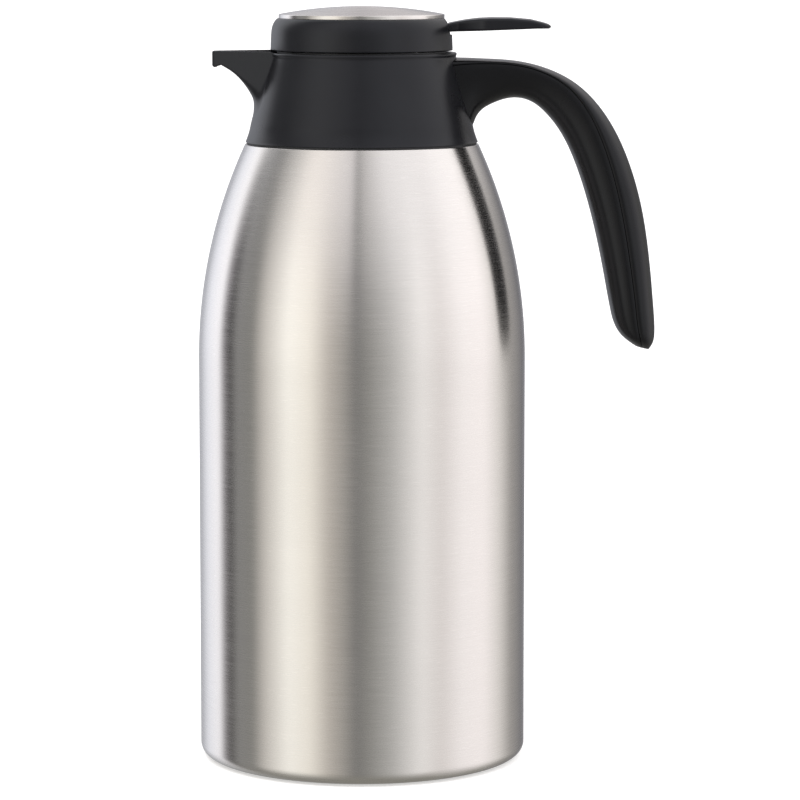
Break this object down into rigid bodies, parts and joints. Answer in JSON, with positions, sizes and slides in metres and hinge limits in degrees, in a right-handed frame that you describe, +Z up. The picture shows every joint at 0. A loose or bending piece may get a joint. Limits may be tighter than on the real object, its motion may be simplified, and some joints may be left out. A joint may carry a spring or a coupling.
{
  "type": "vacuum carafe",
  "caption": "Tall double-walled steel vacuum carafe with a V-shaped pouring spout, an open hook handle, and a screw-in stopper lid whose thumb lever opens the pouring valve.",
  "frame": {"origin": "centre of the standing plane, on the flask's axis", "axes": "+Z up along the flask's axis, +X towards the handle, -X towards the spout, +Y across"},
  "size_m": [0.1848, 0.132, 0.3045],
  "materials": {
    "brushed_steel": "brushed",
    "inner_steel": "drawn",
    "foil": "bright",
    "getter_metal": "sintered",
    "seal_metal": "brazed",
    "screw_steel": "plain",
    "collar_plastic": "fine satin moulding",
    "handle_plastic": "satin",
    "lid_plastic": "fine satin moulding",
    "inner_plastic": "satin",
    "silicone": "soft matt",
    "foot_rubber": "matt"
  },
  "bodies": {
    "flask": {"outer_shell": "brushed_steel", "shell_shoulder": "brushed_steel", "shell_ledge": "brushed_steel", "outer_neck": "inner_steel", "base_cup": "inner_steel", "inner_vessel": "inner_steel", "inner_shoulder": "inner_steel", "inner_throat": "inner_steel", "inner_funnel": "inner_steel", "inner_bottom": "inner_steel", "inner_corner": "inner_steel", "inner_neck": "inner_steel", "radiation_foil": "foil", "getter": "getter_metal", "vacuum_seal": "seal_metal", "base_cover": "collar_plastic", "foot_ring": "foot_rubber", "neck_gasket": "silicone", "shoulder_seal": "foot_rubber", "neck_ring": "inner_plastic", "clamp_half_1": "inner_plastic", "clamp_half_2": "inner_plastic", "collar": "collar_plastic", "handle_body": "handle_plastic", "handle_cover": "handle_plastic", "handle_screw_1": "screw_steel", "handle_screw_2": "screw_steel", "clamp_screw_1": "screw_steel", "clamp_screw_2": "screw_steel", "clamp_screw_3": "screw_steel", "clamp_screw_4": "screw_steel"},
    "lid_seal": {"stopper_seal": "silicone"},
    "lid": {"lid_cap": "lid_plastic", "lid_disc": "brushed_steel", "disc_pad": "inner_plastic", "stopper_body": "inner_plastic", "valve_guide": "inner_plastic", "stem_seal": "silicone", "lever_pin": "screw_steel", "lid_screw_1": "screw_steel", "lid_screw_2": "screw_steel", "lid_screw_3": "screw_steel", "lid_screw_4": "screw_steel"},
    "lever": {"lever": "lid_plastic"},
    "valve": {"valve_stem": "inner_plastic", "valve_disc": "inner_plastic", "valve_seal": "silicone", "cross_pin": "screw_steel", "valve_spring": "screw_steel"}
  },
  "joints": [
    {"name": "lid_rise", "type": "slide", "parent": "flask", "child": "lid_seal", "axis": [0, 0, 1], "range_m": [0, 0.0485]},
    {"name": "lid_turn", "type": "hinge", "parent": "lid_seal", "child": "lid", "pos_m": [0, 0, 0.262], "axis": [0, 0, 1], "range_deg": [0, 360]},
    {"name": "lever_press", "type": "hinge", "parent": "lid", "child": "lever", "pos_m": [0.029, 0, 0.2945], "axis": [0, 1, 0], "range_deg": [0, 7], "stiffness_Nm_per_rad": 0.5, "springref_deg": -8.59},
    {"name": "valve_lift", "type": "slide", "parent": "lid", "child": "valve", "axis": [0, 0, 1], "range_m": [0, 0.0037], "deforming": ["valve_spring"]}
  ],
  "couplings": [
    {"joint": "lid_rise", "follows": "lid_turn", "m_per_rad": 0.0076394},
    {"joint": "valve_lift", "follows": "lever_press", "m_per_rad": 0.029}
  ]
}
